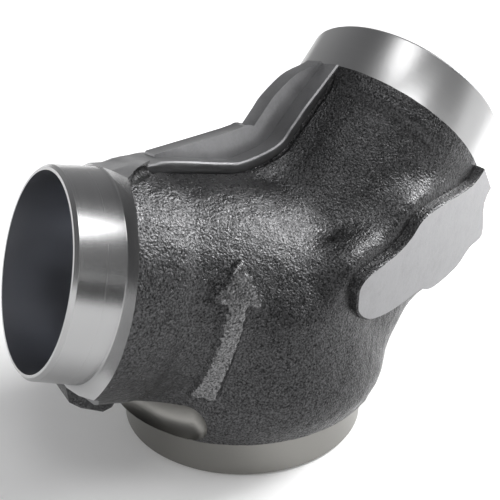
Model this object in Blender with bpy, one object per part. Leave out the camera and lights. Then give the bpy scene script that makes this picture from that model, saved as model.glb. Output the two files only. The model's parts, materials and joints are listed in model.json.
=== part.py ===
"""Y strainer with three weld ends, the screen basket inside it and the cover that closes it.

The body stands on its inlet weld end. All three pipe axes lie in the XZ plane: the inlet axis is
vertical, the outlet axis rises to the left and the access axis, which the screen lies on, rises
to the right. Distances along a port's axis are depths, measured inwards from its end face.
"""
from math import cos, pi, radians, sin

import bmesh
import bpy
from mathutils import Matrix, Vector

MM = 0.001
R = 30.15 * MM  # outer radius of the outlet weld end, a DN 50 pipe end: the casting follows from it
GAP = 0.3 * MM  # left between pieces that touch

# The ports: where each end face's middle is (x from the inlet axis, z) and its outward direction.
OUTLET_TILT = radians(17.1)  # above horizontal, pointing to -X
ACCESS_TILT = radians(49.6)  # above horizontal, pointing to +X
INLET_X = -12.5 * MM  # puts the origin under the middle of the overall length
OUTLET_FACE = (-2.34 * R, 2.26 * R)
ACCESS_FACE = (2.48 * R, 3.575 * R)

# Weld ends: outer radius, bore radius and how far the turned ring runs back to its shoulder.
OUTLET_RING, OUTLET_BORE, OUTLET_SHOULDER = 1.0 * R, 28.4 * MM, 0.43 * R
INLET_RING, INLET_BORE, INLET_SHOULDER = 1.453 * R, 40.0 * MM, 0.52 * R
ACCESS_RING, ACCESS_BORE, ACCESS_SHOULDER = 1.303 * R, 34.0 * MM, 0.58 * R
OUTLET_TAPER = 0.05 * R  # the outlet ring is this much thicker at its shoulder
BEVEL = 0.9 * MM  # weld bevel left on each end
ROOT = 0.5 * MM  # fillet where a ring meets its shoulder

# The rough skin: (depth, radius) down each leg, in units of R. Each leg starts outside its end
# face, where the lathe takes it off again, so that smoothing it leaves the weld end full.
OUTLET_LEG = [
    (-0.7, 1.245), (0.92, 1.245), (1.02, 1.225), (1.5, 1.32), (2.2, 1.38), (3.0, 1.3), (3.5, 0.9),
]
ACCESS_LEG = [
    (-0.7, 1.343), (0.78, 1.343), (0.88, 1.3), (1.8, 1.33), (2.6, 1.42), (3.4, 1.4), (4.0, 1.0),
]
INLET_LEG = [
    (-0.7, 1.57), (0.5, 1.57), (0.66, 1.7), (0.9, 1.7), (1.3, 1.62), (1.8, 1.55), (2.3, 1.25), (2.65, 0.75),
]
TURNED_FROM = -1.1 * R  # where the lathe's cut starts, clear of the legs' outer ends
SKIN_VOXEL = 5.4 * MM
SKIN_SMOOTHING = 5
WELD = 0.02 * MM  # corners that a cut leaves closer than this are one corner

# What the parting line left in the crotch between outlet and access leg.
BEAD_HALF = 8.5 * MM  # the bead's half width across the parting plane
WEB_Y = (-1.0 * MM, 6.0 * MM)  # the thin web behind it
BEAD_ON_OUTLET = [(0.3, 1.06), (0.58, 1.1), (0.73, 1.22), (1.02, 1.3), (1.85, 1.415)]
BEAD_ON_ACCESS = [(1.72, 1.44), (1.2, 1.4), (0.3, 1.306)]
WEB_ON_OUTLET = [(0.95, 1.28), (1.78, 1.69), (1.93, 1.78), (2.03, 1.79)]
WEB_ON_ACCESS = [(1.35, 1.67), (1.05, 1.61), (0.85, 1.54), (0.58, 1.38), (0.3, 1.3)]
LUG = [(0.3, 1.0), (0.43, 1.1), (0.5, 1.24), (0.63, 1.31), (0.88, 1.375), (0.97, 1.33), (1.1, 1.0)]

# The flat pad under the access leg: a plane at PAD_REACH from the access axis, turned PAD_TURN
# from straight down towards the front. Outline points are (depth, distance across), in R.
PAD_TURN = radians(77)
PAD_REACH = 1.44 * R
PAD_DEPTH = 0.55 * R
PAD = [
    (2.72, -0.95), (2.62, -1.04), (2.46, -1.01), (2.1, -0.75), (1.86, -0.65), (1.62, -0.63), (1.34, -0.43),
    (0.82, 0.02), (0.4, 0.0), (0.4, 0.5), (0.75, 0.5), (0.97, 1.12), (1.26, 0.96), (1.58, 0.9), (1.99, 0.58),
    (2.13, 0.3), (2.46, -0.01), (2.66, -0.24), (2.8, -0.5), (2.82, -0.78),
]
COVE = (1.44 * R, 0.46 * R, 0.86 * R)  # radius, bottom and top of the relief under the outlet leg
COVE_ARC = (radians(168), radians(224))

# Inside: depths and radii from the access face.
SHELF_DEPTH = 12.0 * MM  # the cover's gasket sits here
NECK_RADIUS, NECK_END = 23.5 * MM, 27.5 * MM
CHAMBER_RADIUS, CHAMBER_END = 31.0 * MM, 79.5 * MM
SEAT_RADIUS, SEAT_END = 20.3 * MM, 86.0 * MM
INLET_PASSAGE = 15.0 * MM
OUTLET_BORE_DEPTH = 29.0 * MM
OUTLET_PASSAGE, OUTLET_PASSAGE_WIDENING = 12.5 * MM, 1.6
OUTLET_PASSAGE_END = (10.0 * MM, 78.0 * MM)  # x from the inlet axis, z
INLET_BORE_PROFILE = [(40.0, 17.0), (36.0, 21.0), (22.0, 29.0), (12.0, 32.0)]  # radius, height in mm

BOLT_COUNT, BOLT_CIRCLE = 6, 28.5 * MM
SCREW_RADIUS, SCREW_HOLE, TAPPED_END = 2.4 * MM, 2.8 * MM, 24.0 * MM
COVER_TOP, COVER_BOTTOM = 1.5 * MM, 10.5 * MM
HEAD_RECESS, HEAD_RECESS_END = 4.6 * MM, 7.0 * MM
PLUG_RECESS, PLUG_RECESS_END, PLUG_HOLE = 11.0 * MM, 5.0 * MM, 6.9 * MM

BASKET_TOP, BASKET_RING = 17.3 * MM, 3.0 * MM  # the top ring's depth and height
SCREEN_OUTER, SCREEN_WALL = 21.0 * MM, 1.0 * MM
SCREEN_ROWS, SCREEN_HOLES, SCREEN_HOLE_RADIUS = 5, 10, 3.6 * MM
SPRING_RADIUS, SPRING_WIRE, SPRING_TURNS = 20.0 * MM, 0.8 * MM, 2.0
BAIL_SPAN, BAIL_WIRE = 16.6 * MM, 1.0 * MM

STEEL_ROUGH = ("rough_steel", (0.11, 0.11, 0.112), 0.62, 0.85)
STEEL_BRIGHT = ("bright_steel", (0.56, 0.56, 0.57), 0.3, 1.0)
STAINLESS = ("stainless", (0.62, 0.62, 0.6), 0.28, 1.0)
ZINC = ("zinc_plate", (0.6, 0.61, 0.63), 0.35, 1.0)
GRAPHITE = ("graphite_gasket", (0.06, 0.06, 0.065), 0.7, 0.1)
BRASS = ("brass_trim", (0.62, 0.45, 0.2), 0.32, 1.0)


def material(spec):
    """The material of that name, made the first time it is asked for."""
    name, colour, roughness, metallic = spec
    found = bpy.data.materials.get(name)
    if found:
        return found
    made = bpy.data.materials.new(name)
    made.use_nodes = True
    shader = made.node_tree.nodes["Principled BSDF"]
    shader.inputs["Base Color"].default_value = (*colour, 1.0)
    shader.inputs["Roughness"].default_value = roughness
    shader.inputs["Metallic"].default_value = metallic
    return made


class Port:
    """A pipe axis: its end face's middle, the way out of it and the in-plane way across it."""

    def __init__(self, face, outward):
        self.face = Vector((face[0] + INLET_X, 0, face[1]))
        self.outward = Vector((outward[0], 0, outward[1])).normalized()
        self.inward = -self.outward
        self.across = Vector((-self.outward.z, 0, self.outward.x))  # up, on a port that points to -X
        if self.across.z < 0:
            self.across = -self.across

    def matrix(self):
        """Local +Z runs inwards from the end face and local +Y is the row's +Y or -Y."""
        side = self.inward.cross(self.across)
        turn = Matrix((self.across, side, self.inward)).transposed().to_4x4()
        return Matrix.Translation(self.face) @ turn

    def point(self, depth, radius, y=0.0):
        """The point at that depth and in-plane radius, across the axis on its upper side."""
        place = self.face + self.inward * depth + self.across * radius
        return Vector((place.x, y, place.z))


OUTLET = Port(OUTLET_FACE, (-cos(OUTLET_TILT), sin(OUTLET_TILT)))
ACCESS = Port(ACCESS_FACE, (cos(ACCESS_TILT), sin(ACCESS_TILT)))
INLET = Port((0.0, 0.0), (0.0, -1.0))


def new_object(name, mesh_data, spec):
    """A mesh object in the scene, with its normals facing out and its round faces smooth."""
    mesh = bpy.data.meshes.new(name)
    bmesh.ops.recalc_face_normals(mesh_data, faces=mesh_data.faces)
    mesh_data.to_mesh(mesh)
    mesh_data.free()
    mesh.materials.append(material(spec))
    mesh.shade_smooth()
    mesh.set_sharp_from_angle(angle=radians(35))
    item = bpy.data.objects.new(name, mesh)
    bpy.context.collection.objects.link(item)
    return item


def revolve(name, profile, matrix, spec, segments=48, closed=False, arc=None):
    """Turn (radius, depth) points about the axis; a closed profile makes a ring."""
    mesh_data = bmesh.new()
    start, stop = arc or (0.0, 2 * pi)
    count = segments if arc is None else segments + 1
    rings = []
    for radius, depth in profile:
        if radius == 0.0:
            rings.append([mesh_data.verts.new((0, 0, depth))] * count)
            continue
        ring = []
        for k in range(count):
            angle = start + (stop - start) * k / segments
            ring.append(mesh_data.verts.new((radius * cos(angle), radius * sin(angle), depth)))
        rings.append(ring)
    pairs = list(zip(rings, rings[1:]))
    if closed:
        pairs.append((rings[-1], rings[0]))
    for low, high in pairs:
        for k in range(segments):
            after = (k + 1) % count
            corners = []
            for corner in (low[k], low[after], high[after], high[k]):
                if corner not in corners:
                    corners.append(corner)
            if len(corners) > 2:
                mesh_data.faces.new(corners)
    if arc is not None:
        mesh_data.faces.new([ring[0] for ring in rings])
        mesh_data.faces.new([ring[-1] for ring in rings])
    mesh_data.transform(matrix)
    return new_object(name, mesh_data, spec)


def prism(name, outline, sweep, spec):
    """Sweep a closed outline of points along a vector."""
    mesh_data = bmesh.new()
    low = [mesh_data.verts.new(point) for point in outline]
    high = [mesh_data.verts.new(point + sweep) for point in outline]
    mesh_data.faces.new(low)
    mesh_data.faces.new(high)
    for k in range(len(outline)):
        after = (k + 1) % len(outline)
        mesh_data.faces.new((low[k], low[after], high[after], high[k]))
    return new_object(name, mesh_data, spec)


def apply_modifiers(item):
    """Replace the object's mesh with what its modifiers make of it."""
    evaluated = item.evaluated_get(bpy.context.evaluated_depsgraph_get())
    mesh = bpy.data.meshes.new_from_object(evaluated)
    item.modifiers.clear()
    item.data = mesh


def weld(mesh):
    """Close the slivers that a cut leaves where two surfaces nearly touch."""
    mesh_data = bmesh.new()
    mesh_data.from_mesh(mesh)
    bmesh.ops.remove_doubles(mesh_data, verts=mesh_data.verts, dist=WELD)
    bmesh.ops.dissolve_degenerate(mesh_data, edges=mesh_data.edges, dist=WELD / 2)
    mesh_data.to_mesh(mesh)
    mesh_data.free()


def carve(item, cutters, operation="DIFFERENCE"):
    """Cut the cutters out of the object, or join them on, and drop them."""
    for cutter in cutters:
        boolean = item.modifiers.new(cutter.name, "BOOLEAN")
        boolean.operation = operation
        boolean.solver = "EXACT"
        boolean.object = cutter
        apply_modifiers(item)
        bpy.data.objects.remove(cutter)
        weld(item.data)
    item.data.shade_smooth()
    item.data.set_sharp_from_angle(angle=radians(35))


def pin(name, port, radius, start, end, across=Vector((0, 0, 0)), segments=16, spec=STEEL_BRIGHT):
    """A plain round bar along a port's axis, moved sideways by across."""
    profile = [(0.0, start), (radius, start), (radius, end), (0.0, end)]
    return revolve(name, profile, Matrix.Translation(across) @ port.matrix(), spec, segments)


def washer(name, port, inner, outer, start, end, across=Vector((0, 0, 0)), segments=32, spec=ZINC):
    """A flat ring about a port's axis."""
    profile = [(inner, start), (outer, start), (outer, end), (inner, end)]
    return revolve(name, profile, Matrix.Translation(across) @ port.matrix(), spec, segments, closed=True)


def leg(name, port, outline):
    """One leg of the rough skin, with a round inner end."""
    profile = [(0.0, outline[0][0] * R)]
    profile += [(radius * R, depth * R) for depth, radius in outline]
    profile.append((0.0, (outline[-1][0] + 0.15) * R))
    return revolve(name, profile, port.matrix(), STEEL_ROUGH, 48)


def port_outline(port, points, y, side=1.0):
    return [port.point(depth * R, side * radius * R, y) for depth, radius in points]


def bead():
    """The broad band that the trimmed parting line leaves over the upper crotch."""
    y = -BEAD_HALF
    rim = port_outline(OUTLET, BEAD_ON_OUTLET, y) + port_outline(ACCESS, BEAD_ON_ACCESS, y)
    inside = port_outline(ACCESS, [(0.3, 1.1), (2.2, 0.9)], y) + port_outline(OUTLET, [(0.3, 0.7)], y)
    return prism("bead", rim + inside, Vector((0, 2 * BEAD_HALF, 0)), STEEL_ROUGH)


def web():
    """The thin web that stands behind the bead, with its torn outline."""
    y = WEB_Y[0]
    rim = port_outline(OUTLET, WEB_ON_OUTLET, y) + port_outline(ACCESS, WEB_ON_ACCESS, y)
    inside = port_outline(ACCESS, [(0.3, 1.1), (2.0, 1.1)], y) + port_outline(OUTLET, [(0.95, 1.1)], y)
    return prism("web", rim + inside, Vector((0, WEB_Y[1] - WEB_Y[0], 0)), STEEL_ROUGH)


def lug():
    """The stub of the parting line under the outlet ring."""
    outline = port_outline(OUTLET, LUG, -BEAD_HALF, -1.0)
    return prism("lug", outline, Vector((0, 2 * BEAD_HALF, 0)), STEEL_ROUGH)


def pad():
    """The flat pad on the front of the access leg's lower side."""
    down, front = -ACCESS.across, Vector((0, -1, 0))
    normal = down * cos(PAD_TURN) + front * sin(PAD_TURN)
    sideways = down * sin(PAD_TURN) - front * cos(PAD_TURN)
    base = ACCESS.face + normal * PAD_REACH
    outline = [base + ACCESS.inward * (depth * R) + sideways * (across * R) for depth, across in PAD]
    return prism("pad", outline, -normal * PAD_DEPTH, STEEL_ROUGH)


def rough_skin():
    """The three legs run together and smoothed, as the foundry's fillets leave them."""
    legs = [
        leg("outlet_leg", OUTLET, OUTLET_LEG),
        leg("access_leg", ACCESS, ACCESS_LEG),
        leg("inlet_leg", INLET, INLET_LEG),
    ]
    mesh_data = bmesh.new()
    for piece in legs:
        mesh_data.from_mesh(piece.data)
        bpy.data.objects.remove(piece)
    skin = new_object("body", mesh_data, STEEL_ROUGH)
    remesh = skin.modifiers.new("skin", "REMESH")
    remesh.mode = "VOXEL"
    remesh.voxel_size = SKIN_VOXEL
    smooth = skin.modifiers.new("fillets", "SMOOTH")
    smooth.factor = 0.5
    smooth.iterations = SKIN_SMOOTHING
    apply_modifiers(skin)
    return skin


def turning(name, port, ring, shoulder, reach, taper=0.0):
    """What the lathe takes off round a weld end: beyond its face and round its ring."""
    profile = [
        (0.0, TURNED_FROM), (0.0, 0.0), (ring - BEVEL, 0.0), (ring, BEVEL),
        (ring + taper, shoulder - ROOT), (ring + taper + ROOT, shoulder),
        (reach, shoulder), (reach, TURNED_FROM),
    ]
    return revolve(name, profile, port.matrix(), STEEL_BRIGHT, 48, closed=True)


def cove():
    """The relief that leaves the inlet ring clear under the outlet leg."""
    radius, low, high = COVE
    middle, height = (low + high) / 2, high - low
    profile = [
        (radius, low), (1.9 * R, low), (1.9 * R, high),
        (radius + 0.1 * R, high), (radius, middle + height / 4),
    ]
    place = Matrix.Translation((INLET_X, 0, 0))
    return revolve("cove", profile, place, STEEL_BRIGHT, 16, closed=True, arc=COVE_ARC)


def bores():
    """The waterways: inlet, seat, screen chamber, cover recess and outlet."""
    cutters = []
    inlet = [(0.0, -2 * MM), (INLET_BORE, -2 * MM)] + [(r * MM, z * MM) for r, z in INLET_BORE_PROFILE]
    inlet.append((0.0, INLET_BORE_PROFILE[-1][1] * MM))
    cutters.append(revolve("inlet_bore", inlet, Matrix.Translation((INLET_X, 0, 0)), STEEL_ROUGH, 48))
    access = [
        (0.0, -2 * MM), (ACCESS_BORE, -2 * MM), (ACCESS_BORE, SHELF_DEPTH), (NECK_RADIUS, SHELF_DEPTH),
        (NECK_RADIUS, NECK_END), (CHAMBER_RADIUS, NECK_END), (CHAMBER_RADIUS, CHAMBER_END),
        (SEAT_RADIUS, CHAMBER_END), (SEAT_RADIUS, SEAT_END), (INLET_PASSAGE, SEAT_END),
        (INLET_PASSAGE, SEAT_END + 22 * MM), (0.0, SEAT_END + 22 * MM),
    ]
    cutters.append(revolve("access_bore", access, ACCESS.matrix(), STEEL_ROUGH, 40))
    cutters.append(pin("outlet_bore", OUTLET, OUTLET_BORE, -2 * MM, OUTLET_BORE_DEPTH, segments=48))
    start = OUTLET.point(OUTLET_BORE_DEPTH - 4 * MM, 0.0)
    end = Vector((OUTLET_PASSAGE_END[0] + INLET_X, 0, OUTLET_PASSAGE_END[1]))
    run = end - start
    across = Vector((0, 1, 0)).cross(run.normalized())
    turn = Matrix((across, Vector((0, OUTLET_PASSAGE_WIDENING, 0)), run.normalized())).transposed().to_4x4()
    profile = [(0.0, 0.0), (OUTLET_PASSAGE, 0.0), (OUTLET_PASSAGE, run.length), (0.0, run.length)]
    cutters.append(revolve("outlet_passage", profile, Matrix.Translation(start) @ turn, STEEL_ROUGH, 32))
    return cutters


def bolt_offsets():
    """Where the cover screws stand round the access axis."""
    side = Vector((0, 1, 0))
    turns = [2 * pi * k / BOLT_COUNT + pi / BOLT_COUNT for k in range(BOLT_COUNT)]
    return [ACCESS.across * (BOLT_CIRCLE * cos(turn)) + side * (BOLT_CIRCLE * sin(turn)) for turn in turns]


def make_body():
    body = rough_skin()
    carve(body, [bead(), web(), lug(), pad()], "UNION")
    carve(body, [
        cove(),
        turning("turn_outlet", OUTLET, OUTLET_RING, OUTLET_SHOULDER, 1.75 * R, OUTLET_TAPER),
        turning("turn_access", ACCESS, ACCESS_RING, ACCESS_SHOULDER, 2.3 * R),
        turning("turn_inlet", INLET, INLET_RING, INLET_SHOULDER, 2.4 * R),
    ])
    carve(body, bores())
    carve(body, [
        pin("tapped_hole", ACCESS, SCREW_RADIUS + GAP, SHELF_DEPTH - 1 * MM, TAPPED_END, offset, 12)
        for offset in bolt_offsets()
    ])
    return body


def make_seat_ring():
    washer(
        "seat_ring", ACCESS, INLET_PASSAGE + 0.5 * MM, SEAT_RADIUS - GAP, CHAMBER_END + GAP, SEAT_END - GAP,
        segments=48, spec=STAINLESS,
    )


def make_screen():
    """The perforated tube: rows of round holes, each row turned half a pitch on the last."""
    start, end = BASKET_TOP + BASKET_RING + GAP, CHAMBER_END - 2 * GAP - BASKET_RING
    tube = washer(
        "screen_tube", ACCESS, SCREEN_OUTER - SCREEN_WALL, SCREEN_OUTER, start, end,
        segments=40, spec=STAINLESS,
    )
    pitch = (end - start) / SCREEN_ROWS
    side = Vector((0, 1, 0))
    mesh_data = bmesh.new()
    for row in range(SCREEN_ROWS):
        depth = start + pitch * (row + 0.5)
        for k in range(SCREEN_HOLES):
            angle = 2 * pi * (k + 0.5 * (row % 2)) / SCREEN_HOLES
            outward = ACCESS.across * cos(angle) + side * sin(angle)
            middle = ACCESS.face + ACCESS.inward * depth + outward * SCREEN_OUTER
            turn = outward.to_track_quat("Z", "Y").to_matrix().to_4x4()
            bmesh.ops.create_cone(
                mesh_data, cap_ends=True, segments=8, radius1=SCREEN_HOLE_RADIUS, radius2=SCREEN_HOLE_RADIUS,
                depth=4 * MM, matrix=Matrix.Translation(middle) @ turn,
            )
    carve(tube, [new_object("screen_holes", mesh_data, STAINLESS)])
    inner = SCREEN_OUTER - SCREEN_WALL - GAP
    washer(
        "screen_mesh", ACCESS, inner - 0.4 * MM, inner, start + GAP, end - GAP, segments=40, spec=STAINLESS,
    )


def make_basket_rings():
    top_bore, foot_bore, outer = 15.0 * MM, 16.0 * MM, 22.5 * MM
    foot = CHAMBER_END - GAP
    for name, bore, start in (
        ("basket_top_ring", top_bore, BASKET_TOP), ("basket_foot_ring", foot_bore, foot - BASKET_RING),
    ):
        washer(name, ACCESS, bore, outer, start, start + BASKET_RING, segments=40, spec=STAINLESS)


def wire(name, points, radius, spec, sides=2, cyclic=False):
    """A round wire along the points."""
    curve = bpy.data.curves.new(name, "CURVE")
    curve.dimensions = "3D"
    spline = curve.splines.new("POLY")
    spline.points.add(len(points) - 1)
    for point, place in zip(spline.points, points):
        point.co = (*place, 1.0)
    spline.use_cyclic_u = cyclic
    curve.bevel_depth = radius
    curve.bevel_resolution = sides
    curve.use_fill_caps = not cyclic
    curve.materials.append(material(spec))
    item = bpy.data.objects.new(name, curve)
    bpy.context.collection.objects.link(item)
    return item


def make_bail():
    """The wire loop across the top ring, for pulling the basket."""
    foot, rise = BASKET_TOP - GAP - 0.1 * MM, 4.6 * MM
    points = []
    for k in range(13):
        angle = pi * k / 12
        place = ACCESS.face + ACCESS.inward * (foot - rise * sin(angle) ** 0.7)
        points.append(place + Vector((0, (BAIL_SPAN - 0.6 * MM) * cos(angle), 0)))
    wire("basket_bail", points, BAIL_WIRE, STAINLESS, 1)


def make_spring():
    """The hold-down spring, closed up between the basket's top ring and the cover."""
    start = COVER_BOTTOM + GAP + SPRING_WIRE
    end = BASKET_TOP - GAP - SPRING_WIRE
    steps = int(16 * SPRING_TURNS)
    side = Vector((0, 1, 0))
    points = []
    for k in range(steps + 1):
        angle = 2 * pi * SPRING_TURNS * k / steps
        outward = ACCESS.across * cos(angle) + side * sin(angle)
        depth = start + (end - start) * k / steps
        points.append(ACCESS.face + ACCESS.inward * depth + outward * SPRING_RADIUS)
    wire("hold_down_spring", points, SPRING_WIRE, STAINLESS, 1)


def make_cover():
    profile = [
        (PLUG_HOLE, PLUG_RECESS_END), (PLUG_RECESS, PLUG_RECESS_END), (PLUG_RECESS, COVER_TOP),
        (ACCESS_BORE - 1.0 * MM, COVER_TOP), (ACCESS_BORE - GAP, COVER_TOP + 0.7 * MM),
        (ACCESS_BORE - GAP, COVER_BOTTOM), (PLUG_HOLE, COVER_BOTTOM),
    ]
    cover = revolve("access_cover", profile, ACCESS.matrix(), STEEL_BRIGHT, 64, closed=True)
    for offset in bolt_offsets():
        carve(cover, [
            pin("head_recess", ACCESS, HEAD_RECESS, COVER_TOP - 1 * MM, HEAD_RECESS_END, offset, 16),
            pin("screw_hole", ACCESS, SCREW_HOLE, COVER_TOP, COVER_BOTTOM + 1 * MM, offset, 12),
        ])
    gasket = washer(
        "cover_gasket", ACCESS, NECK_RADIUS + GAP, ACCESS_BORE - 2 * GAP, COVER_BOTTOM + GAP,
        SHELF_DEPTH - GAP, segments=64, spec=GRAPHITE,
    )
    carve(gasket, [
        pin("screw_hole", ACCESS, SCREW_HOLE, COVER_BOTTOM, SHELF_DEPTH, offset, 12)
        for offset in bolt_offsets()
    ])


def make_screws():
    """Low-head socket screws, each with its spring washer."""
    head_top, head_bottom = 2.0 * MM, HEAD_RECESS_END - 1.7 * MM
    for number, offset in enumerate(bolt_offsets(), 1):
        profile = [
            (0.0, head_top), (3.6 * MM, head_top), (4.1 * MM, head_top + 0.5 * MM), (4.1 * MM, head_bottom),
            (SCREW_RADIUS, head_bottom), (SCREW_RADIUS, 21.5 * MM), (SCREW_RADIUS - 0.5 * MM, 22.0 * MM),
            (0.0, 22.0 * MM),
        ]
        place = Matrix.Translation(offset) @ ACCESS.matrix()
        screw = revolve(f"cover_screw_{number}", profile, place, ZINC, 16)
        carve(screw, [pin("hex_socket", ACCESS, 1.9 * MM, head_top - 1 * MM, head_top + 1.8 * MM, offset, 6)])
        ring = (SCREW_RADIUS + GAP, 4.0 * MM, head_bottom + GAP, HEAD_RECESS_END - GAP)
        washer(f"spring_washer_{number}", ACCESS, *ring, offset, 16)


def make_plug():
    """The blow-down plug in the middle of the cover, on its seal washer."""
    flange_top, flange_bottom = 1.7 * MM, PLUG_RECESS_END - 1.5 * MM
    profile = [
        (0.0, flange_top), (9.0 * MM, flange_top), (9.6 * MM, flange_top + 0.6 * MM),
        (9.6 * MM, flange_bottom), (PLUG_HOLE - GAP, flange_bottom), (PLUG_HOLE - GAP, 9.6 * MM),
        (PLUG_HOLE - GAP - 0.6 * MM, 10.2 * MM), (0.0, 10.2 * MM),
    ]
    plug = revolve("blow_down_plug", profile, ACCESS.matrix(), BRASS, 32)
    carve(plug, [pin("hex_socket", ACCESS, 4.0 * MM, flange_top - 1 * MM, 6.5 * MM, segments=6)])
    seal = (PLUG_HOLE, 9.4 * MM, flange_bottom + GAP, PLUG_RECESS_END - GAP)
    washer("plug_seal", ACCESS, *seal, segments=32, spec=GRAPHITE)


def main():
    for item in list(bpy.data.objects):
        bpy.data.objects.remove(item)
    make_body()
    make_seat_ring()
    make_screen()
    make_basket_rings()
    make_bail()
    make_spring()
    make_cover()
    make_screws()
    make_plug()


main()
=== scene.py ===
"""The looks of the Y strainer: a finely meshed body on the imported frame, and every material.

Lengths are metres in the row frame. R, the outer radius of the outlet weld end, is the driving
size, as in the CAD model. A depth runs inwards along a port's axis from its end face.
"""
import json
from math import cos, pi, radians, sin

import bmesh
import bpy
import numpy as np
from mathutils import Matrix, Vector, noise
from mathutils.bvhtree import BVHTree


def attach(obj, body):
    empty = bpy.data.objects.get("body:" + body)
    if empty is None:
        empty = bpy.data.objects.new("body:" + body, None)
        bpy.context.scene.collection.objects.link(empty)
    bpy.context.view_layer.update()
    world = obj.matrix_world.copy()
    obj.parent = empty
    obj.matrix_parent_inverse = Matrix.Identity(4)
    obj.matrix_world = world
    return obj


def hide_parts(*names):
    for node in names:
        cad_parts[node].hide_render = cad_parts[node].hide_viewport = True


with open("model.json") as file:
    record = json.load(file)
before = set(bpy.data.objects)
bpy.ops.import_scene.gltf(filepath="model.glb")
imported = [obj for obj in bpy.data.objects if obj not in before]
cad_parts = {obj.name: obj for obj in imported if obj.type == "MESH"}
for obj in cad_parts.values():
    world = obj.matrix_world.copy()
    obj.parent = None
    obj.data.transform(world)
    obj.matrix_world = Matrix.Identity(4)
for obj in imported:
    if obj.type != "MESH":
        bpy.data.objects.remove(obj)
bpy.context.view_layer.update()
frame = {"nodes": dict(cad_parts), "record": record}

MM = 0.001
R = 30.15 * MM
INLET_X = -12.5 * MM
OUTLET_TILT, ACCESS_TILT = radians(17.1), radians(49.6)
OUTLET_FACE, ACCESS_FACE = (-2.34 * R, 2.26 * R), (2.48 * R, 3.575 * R)

# Weld ends: outer radius, bore radius and the depth of the shoulder behind the turned ring.
OUTLET_RING, OUTLET_BORE, OUTLET_SHOULDER = 1.0 * R, 28.4 * MM, 0.43 * R
INLET_RING, INLET_BORE, INLET_SHOULDER = 1.453 * R, 40.0 * MM, 0.52 * R
ACCESS_RING, ACCESS_BORE, ACCESS_SHOULDER = 1.303 * R, 34.0 * MM, 0.58 * R
OUTLET_TAPER = 0.05 * R
BEVEL, ROOT = 0.9 * MM, 0.6 * MM
TURNED_FROM = -1.1 * R  # how far outside a face the lathe's cutters start
OUTLET_REACH, ACCESS_REACH, INLET_REACH = 1.75 * R, 2.3 * R, 2.4 * R  # how far out they go

# The rough skin: (depth, radius) down each leg, in R, then the collars that step off it, then the
# voxels and smoothing passes of its two remeshes.
OUTLET_LEG = [(-0.7, 1.225), (1.02, 1.225), (1.5, 1.32), (2.2, 1.38), (3.0, 1.3), (3.5, 0.9)]
ACCESS_LEG = [(-0.7, 1.3), (0.88, 1.3), (1.8, 1.33), (2.6, 1.42), (3.4, 1.4), (4.0, 1.0)]
INLET_LEG = [
    (-0.7, 1.57), (0.5, 1.57), (0.66, 1.7), (0.9, 1.7), (1.3, 1.62), (1.8, 1.55), (2.3, 1.25), (2.65, 0.75),
]
OUTLET_COLLAR = [(-0.7, 1.245), (0.9, 1.245), (0.96, 1.225), (1.0, 1.1)]
ACCESS_COLLAR = [(-0.7, 1.343), (0.78, 1.343), (0.83, 1.31), (0.9, 1.2)]
SKIN_VOXEL, SKIN_SMOOTHING = 1.3 * MM, 85
FINE_VOXEL, FINE_SMOOTHING = 0.9 * MM, 5
LUMP_SIZES = ((6.0 * MM, 0.16 * MM), (2.6 * MM, 0.13 * MM))  # wavelength and height of the cast lumps
SHARP_ANGLE = radians(32)

# The trimmed parting line: the bead's rim, the web behind it and the lug under the outlet, each as
# (depth, radius) in R. The ridge is the rough metal under the bead.
BEAD_HALF, BEAD_FOOT = 8.5 * MM, 22.0 * MM
RIDGE_HALF, RIDGE_DROP, RIDGE_WIDENING = 11.0 * MM, 1.0 * MM, 1.5
RIM_STEPS, WEB_STEPS = 8, 3
BEAD_ON_OUTLET = [
    (0.41, 1.0), (0.6, 1.1), (0.7, 1.16), (0.82, 1.205), (0.95, 1.255), (1.2, 1.3), (1.6, 1.36),
    (1.85, 1.425),
]
BEAD_ON_ACCESS = [(1.72, 1.44), (1.45, 1.41), (1.2, 1.4), (0.9, 1.37), (0.58, 1.34), (0.3, 1.31)]
WEB_Y = (-1.0 * MM, 6.0 * MM)
WEB_ON_OUTLET = [(0.95, 1.28), (1.78, 1.69), (1.93, 1.78), (2.03, 1.79)]
WEB_ON_ACCESS = [(1.35, 1.67), (1.05, 1.61), (0.85, 1.54), (0.58, 1.38), (0.3, 1.3)]
LUG = [(0.43, 0.98), (0.44, 1.1), (0.5, 1.24), (0.63, 1.31), (0.88, 1.375), (0.97, 1.33), (1.1, 1.0)]
WEB_EDGE, LUG_EDGE = 0.4 * MM, 0.8 * MM

# The bead's section down one side: half width, then drop below the rim.
BEAD_EDGES = [
    (BEAD_HALF - 0.5 * MM, 0.0), (BEAD_HALF, 0.45 * MM), (BEAD_HALF - 0.1 * MM, 1.1 * MM),
    (BEAD_HALF - 2.2 * MM, 4.5 * MM), (BEAD_HALF - 2.6 * MM, BEAD_FOOT),
]
GROOVE = (1.2 * MM, 9.5 * MM, 6.5 * MM, 9.0 * MM)  # depth, distance off the plane, width, reach

# The undercut along the bead: its radius, its distance from the edge, the outlet depth it starts
# at, and how it thins out to its ends. In front it spreads off the bead near the outlet face.
CREASE, CREASE_OFFSET, CREASE_START = 2.1 * MM, 0.4 * MM, 0.46 * R
CREASE_SIDES, CREASE_STEPS, CREASE_TIP, CREASE_FADE = 12, 4, 0.35, 12
SPREAD_TO, SPREAD_FROM, SPREAD_RUN, SPREAD_CURVE = 20.5 * MM, 0.95 * R, 0.5 * R, 1.6

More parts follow.
